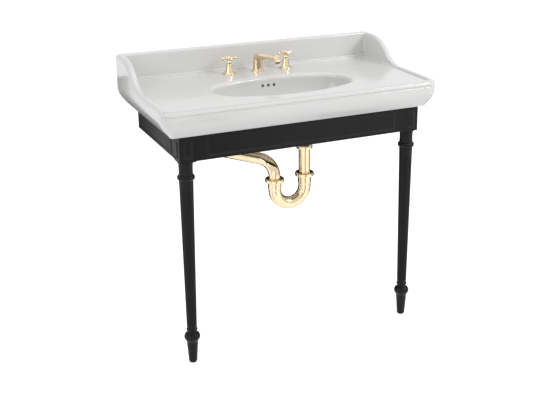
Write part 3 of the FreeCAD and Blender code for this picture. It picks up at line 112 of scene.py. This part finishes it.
# ---------------------------------------------------------------- material helpers
class Recipe:
    """A node material with one Principled shader and coordinates in the object's own metres."""

    def __init__(self, name, color, roughness, metallic=0.0, specular=0.5):
        self.material = bpy.data.materials.new(name)
        self.material.use_nodes = True
        self.tree = self.material.node_tree
        self.shader = self.tree.nodes["Principled BSDF"]
        self.shader.inputs["Base Color"].default_value = (*color, 1.0)
        self.shader.inputs["Metallic"].default_value = metallic
        self.shader.inputs["Roughness"].default_value = roughness
        self.shader.inputs["Specular IOR Level"].default_value = specular
        self.place = self.add("ShaderNodeTexCoord").outputs["Object"]
        self.normal = None

    def add(self, kind, **values):
        node = self.tree.nodes.new(kind)
        for key, value in values.items():
            setattr(node, key, value)
        return node

    def link(self, source, target):
        self.tree.links.new(source, target)

    def scaled_place(self, scale):
        mapping = self.add("ShaderNodeMapping")
        mapping.inputs["Scale"].default_value = scale
        self.link(self.place, mapping.inputs["Vector"])
        return mapping.outputs["Vector"]

    def noise(self, scale, detail, stretch=EVEN):
        node = self.add("ShaderNodeTexNoise")
        node.inputs["Scale"].default_value = scale
        node.inputs["Detail"].default_value = detail
        self.link(self.scaled_place(stretch), node.inputs["Vector"])
        return node.outputs["Fac"]

    def ramp(self, value, span, first, last):
        """Takes the values in the span to those from first to last, and holds the rest at the ends."""
        node = self.add("ShaderNodeMapRange")
        node.inputs["From Min"].default_value = span[0]
        node.inputs["From Max"].default_value = span[1]
        node.inputs["To Min"].default_value = first
        node.inputs["To Max"].default_value = last
        self.link(value, node.inputs["Value"])
        return node.outputs["Result"]

    def times(self, first, second):
        node = self.add("ShaderNodeMath", operation="MULTIPLY")
        self.link(first, node.inputs[0])
        self.link(second, node.inputs[1])
        return node.outputs["Value"]

    def blend_color(self, factor, first, second):
        node = self.add("ShaderNodeMix", data_type="RGBA")
        node.inputs["A"].default_value = (*first, 1.0)
        node.inputs["B"].default_value = (*second, 1.0)
        self.link(factor, node.inputs["Factor"])
        self.link(node.outputs["Result"], self.shader.inputs["Base Color"])

    def patches(self, first, second, scale, detail, span=NOISE_SPAN):
        """Soft patches of the second colour over the first."""
        self.blend_color(self.ramp(self.noise(scale, detail), span, 0.0, 1.0), first, second)

    def sheen(self, smooth, rough, scale, detail, span=NOISE_SPAN):
        """Roughness that wanders between two values."""
        value = self.ramp(self.noise(scale, detail), span, smooth, rough)
        self.link(value, self.shader.inputs["Roughness"])

    def bump(self, value, distance, strength=1.0):
        """Adds a layer of relief; layers stack in the order they are added."""
        node = self.add("ShaderNodeBump")
        node.inputs["Distance"].default_value = distance
        node.inputs["Strength"].default_value = strength
        self.link(value, node.inputs["Height"])
        if self.normal:
            self.link(self.normal, node.inputs["Normal"])
        self.normal = node.outputs["Normal"]
        self.link(self.normal, self.shader.inputs["Normal"])

    def grain(self, distance, strength, scale, detail, stretch=EVEN):
        """A layer of relief made of noise."""
        self.bump(self.noise(scale, detail, stretch), distance, strength)


def shade(color, factor):
    return tuple(min(1.0, c * factor) for c in color)


# ---------------------------------------------------------------- materials
def glaze_material():
    """White vitreous glaze: a glassy coat over a body with very soft waves and tiny specks."""
    glaze = Recipe("glaze", GLAZE, roughness=0.22)
    glaze.shader.inputs["Coat Weight"].default_value = 0.4
    glaze.shader.inputs["Coat Roughness"].default_value = 0.06
    glaze.patches(GLAZE, shade(GLAZE, 0.975), scale=5.0, detail=3.0)
    glaze.sheen(0.17, 0.26, scale=26.0, detail=4.0)
    glaze.grain(distance=0.0005, strength=0.2, scale=9.0, detail=2.0)
    glaze.grain(distance=0.00004, strength=0.4, scale=420.0, detail=2.0)
    return glaze.material


def lacquer_material():
    """Satin black lacquer over wood: a hint of grain under it and slightly uneven sheen."""
    lacquer = Recipe("black_lacquer", LACQUER, roughness=0.36, specular=0.16)
    lacquer.patches(LACQUER, shade(LACQUER, 1.5), scale=9.0, detail=4.0)
    lacquer.sheen(0.33, 0.46, scale=34.0, detail=5.0, span=WIDE_SPAN)
    lacquer.grain(distance=0.00012, strength=0.5, scale=60.0, detail=5.0, stretch=(6.0, 6.0, 0.5))
    lacquer.grain(distance=0.00003, strength=0.5, scale=900.0, detail=2.0)
    return lacquer.material


def polished_material():
    """Polished pale gold brass with faint polishing lines and finger-soft patches."""
    brass = Recipe("polished_brass", GOLD, roughness=0.09, metallic=1.0)
    brass.patches(GOLD, GOLD_DEEP, scale=18.0, detail=4.0, span=LATE_SPAN)
    brass.sheen(0.05, 0.12, scale=55.0, detail=5.0)
    brass.grain(distance=0.000006, strength=0.5, scale=700.0, detail=3.0, stretch=(1.0, 1.0, 0.15))
    return brass.material


def turned_metal(name, color, roughness, thread=None):
    """Machined metal with fine turning lines round the upright axis, and a thread if it has one."""
    metal = Recipe(name, color, roughness, metallic=1.0)
    metal.blend_color(metal.noise(scale=40.0, detail=5.0), color, shade(color, 0.8))
    metal.sheen(roughness - 0.06, roughness + 0.08, scale=120.0, detail=5.0)
    metal.grain(distance=0.00004, strength=0.6, scale=500.0, detail=2.0, stretch=(0.2, 0.2, 4.0))
    if thread:
        add_thread(metal, *thread)
    return metal.material


def add_thread(metal, pitch, low, high):
    """Rounded thread ridges round an upright shank between two heights."""
    wave = metal.add("ShaderNodeTexWave", wave_type="BANDS", bands_direction="Z", wave_profile="SIN")
    wave.inputs["Scale"].default_value = 2.0 * math.pi / WAVE_RATE / pitch
    metal.link(metal.place, wave.inputs["Vector"])
    parts = metal.add("ShaderNodeSeparateXYZ")
    metal.link(metal.place, parts.inputs["Vector"])
    below = metal.ramp(parts.outputs["Z"], (high - pitch, high), 1.0, 0.0)
    above = metal.ramp(parts.outputs["Z"], (low, low + pitch), 0.0, 1.0)
    zone = metal.times(below, above)
    metal.bump(metal.times(wave.outputs["Fac"], zone), THREAD_DEPTH)


def zinc_material():
    """Zinc plate with a fine spangle."""
    zinc = Recipe("zinc", ZINC, roughness=0.42, metallic=1.0)
    spangle = zinc.add("ShaderNodeTexVoronoi")
    spangle.inputs["Scale"].default_value = 160.0
    zinc.link(zinc.place, spangle.inputs["Vector"])
    zinc.blend_color(spangle.outputs["Distance"], ZINC, shade(ZINC, 0.75))
    zinc.sheen(0.34, 0.52, scale=90.0, detail=4.0)
    zinc.grain(distance=0.00005, strength=0.5, scale=300.0, detail=3.0)
    return zinc.material


def beech_material():
    """Bare beech with its grain along X."""
    beech = Recipe("beech", BEECH, roughness=0.6)
    beech.blend_color(beech.noise(scale=90.0, detail=6.0, stretch=LONG_GRAIN), BEECH, shade(BEECH, 0.65))
    beech.grain(distance=0.0001, strength=0.6, scale=200.0, detail=4.0, stretch=LONG_GRAIN)
    return beech.material


def soft_material(name, color, roughness):
    """Rubber or plastic with a fine even grain."""
    soft = Recipe(name, color, roughness)
    soft.blend_color(soft.noise(scale=70.0, detail=4.0), color, shade(color, 1.35))
    soft.sheen(roughness - 0.08, roughness + 0.08, scale=150.0, detail=4.0)
    soft.grain(distance=0.00003, strength=0.7, scale=1400.0, detail=3.0)
    return soft.material


def slot_materials():
    return {
        "glazed_white": glaze_material(),
        "black_lacquer": lacquer_material(),
        "polished_brass": polished_material(),
        "raw_brass": turned_metal("raw_brass", RAW_BRASS, RAW_BRASS_ROUGHNESS),
        "copper_tube": turned_metal("copper_tube", COPPER, COPPER_ROUGHNESS),
        "zinc_steel": zinc_material(),
        "beech": beech_material(),
        "rubber": soft_material("rubber", RUBBER, RUBBER_ROUGHNESS),
        "outlet_insert": soft_material("outlet_insert", INSERT, INSERT_ROUGHNESS),
    }


# ---------------------------------------------------------------- dressing
def paint(name, material):
    piece = nodes[name]
    piece.data.materials.clear()
    piece.data.materials.append(material)


def dress_nodes(materials):
    for entry in frame["record"]["subparts"]:
        paint(entry["node"], materials[entry["material_slot"]])


def thread_zone(shank, nut, pitch):
    """From the shank's end to the top of its nut, where the thread shows under the basin."""
    return pitch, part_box(shank)[0][2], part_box(nut)[1][2]


def dress_threads():
    for shank, nut, pitch, color, roughness in THREADED:
        thread = thread_zone(shank, nut, pitch)
        paint(shank, turned_metal(shank + "_metal", color, roughness, thread))


# ---------------------------------------------------------------- stage, lights, camera
def seen_or_mirrored(tree):
    """1 for a ray from the camera or off a glossy surface, else 0."""
    rays = tree.nodes.new("ShaderNodeLightPath")
    either = tree.nodes.new("ShaderNodeMath")
    either.operation = "MAXIMUM"
    tree.links.new(rays.outputs["Is Camera Ray"], either.inputs[0])
    tree.links.new(rays.outputs["Is Glossy Ray"], either.inputs[1])
    return either.outputs["Value"]


def stage_material():
    """White floor that still takes the object's shadow."""
    material = bpy.data.materials.new("stage_white")
    material.use_nodes = True
    tree = material.node_tree
    shader = tree.nodes["Principled BSDF"]
    shader.inputs["Base Color"].default_value = (*shade(WHITE, FLOOR_WHITE), 1.0)
    shader.inputs["Roughness"].default_value = FLOOR_ROUGHNESS
    shader.inputs["Specular IOR Level"].default_value = 0.0
    lift = tree.nodes.new("ShaderNodeMath")
    lift.operation = "MULTIPLY"
    lift.inputs[1].default_value = FLOOR_LIFT
    tree.links.new(seen_or_mirrored(tree), lift.inputs[0])
    glow = tree.nodes.new("ShaderNodeEmission")
    glow.inputs["Color"].default_value = (*WHITE, 1.0)
    tree.links.new(lift.outputs["Value"], glow.inputs["Strength"])
    both = tree.nodes.new("ShaderNodeAddShader")
    tree.links.new(shader.outputs["BSDF"], both.inputs[0])
    tree.links.new(glow.outputs["Emission"], both.inputs[1])
    tree.links.new(both.outputs["Shader"], tree.nodes["Material Output"].inputs["Surface"])
    return material


def card_material(name, color):
    """An even tone that no light changes."""
    material = bpy.data.materials.new(name)
    material.use_nodes = True
    tree = material.node_tree
    tone = tree.nodes.new("ShaderNodeEmission")
    tone.inputs["Color"].default_value = (*color, 1.0)
    tree.links.new(tone.outputs["Emission"], tree.nodes["Material Output"].inputs["Surface"])
    return material


def flat_panel(name, corners, material):
    """One four-sided face, linked into the scene."""
    mesh = bpy.data.meshes.new(name)
    mesh.from_pydata(corners, [], [(0, 1, 2, 3)])
    mesh.materials.append(material)
    panel = bpy.data.objects.new(name, mesh)
    bpy.context.scene.collection.objects.link(panel)
    return panel


def card(name, start, end, top, color):
    """An upright card that only mirror-like surfaces see, for the dark lines in polished metal."""
    corners = [(*start, 0.0), (*end, 0.0), (*end, top), (*start, top)]
    panel = flat_panel(name, corners, card_material(name, color))
    for kind in UNSEEN_BY:
        setattr(panel, "visible_" + kind, False)


def make_floor():
    half = FLOOR_SIZE / 2
    corners = [(-half, -half, 0.0), (half, -half, 0.0), (half, half, 0.0), (-half, half, 0.0)]
    flat_panel("floor", corners, stage_material())


def make_cards():
    card("back_card", BACK_CARD_LEFT, BACK_CARD_RIGHT, DARK_CARD_TOP, CARD_DARK)
    card("side_card", BACK_CARD_RIGHT, SIDE_CARD_FRONT, DARK_CARD_TOP, CARD_DARK)
    card("strip_card", STRIP_LEFT, STRIP_RIGHT, STRIP_TOP, CARD_GREY)


def area_light(name, place, target, size, power):
    data = bpy.data.lights.new(name, "AREA")
    data.shape = "RECTANGLE"
    data.size, data.size_y = size
    data.energy = power
    light = bpy.data.objects.new(name, data)
    light.location = place
    light.rotation_mode = "QUATERNION"
    light.rotation_quaternion = (Vector(target) - Vector(place)).to_track_quat("-Z", "Y")
    bpy.context.scene.collection.objects.link(light)


def make_lights():
    for light in LIGHTS:
        area_light(*light)


def make_world():
    """Plain white light on the object, and a pure white backdrop for the camera and reflections."""
    world = bpy.data.worlds.new("studio")
    bpy.context.scene.world = world
    world.use_nodes = True
    tree = world.node_tree
    ambient = tree.nodes["Background"]
    ambient.inputs["Color"].default_value = (*WHITE, 1.0)
    ambient.inputs["Strength"].default_value = AMBIENT
    seen = tree.nodes.new("ShaderNodeBackground")
    seen.inputs["Color"].default_value = (*WHITE, 1.0)
    seen.inputs["Strength"].default_value = 1.0
    mix = tree.nodes.new("ShaderNodeMixShader")
    tree.links.new(seen_or_mirrored(tree), mix.inputs["Fac"])
    tree.links.new(ambient.outputs["Background"], mix.inputs[1])
    tree.links.new(seen.outputs["Background"], mix.inputs[2])
    tree.links.new(mix.outputs["Shader"], tree.nodes["World Output"].inputs["Surface"])


def make_camera():
    data = bpy.data.cameras.new("camera")
    data.sensor_fit = "HORIZONTAL"
    data.sensor_width = SENSOR_WIDTH
    data.lens = FOCAL_PIXELS / PHOTO_WIDTH * SENSOR_WIDTH
    data.shift_x = (PHOTO_WIDTH / 2 - CENTRE_U) / PHOTO_WIDTH
    data.shift_y = (CENTRE_V - PHOTO_HEIGHT / 2) / PHOTO_WIDTH
    camera = bpy.data.objects.new("camera", data)
    yaw, pitch = math.radians(CAMERA_YAW), math.radians(CAMERA_PITCH)
    look = Vector((math.sin(yaw) * math.cos(pitch), math.cos(yaw) * math.cos(pitch), -math.sin(pitch)))
    camera.location = CAMERA_PLACE
    camera.rotation_mode = "QUATERNION"
    camera.rotation_quaternion = look.to_track_quat("-Z", "Y")
    bpy.context.scene.collection.objects.link(camera)
    bpy.context.scene.camera = camera


# ---------------------------------------------------------------- scene
dress_nodes(slot_materials())
dress_threads()
make_floor()
make_cards()
make_lights()
make_world()
make_camera()
bpy.context.scene.view_settings.view_transform = "Standard"
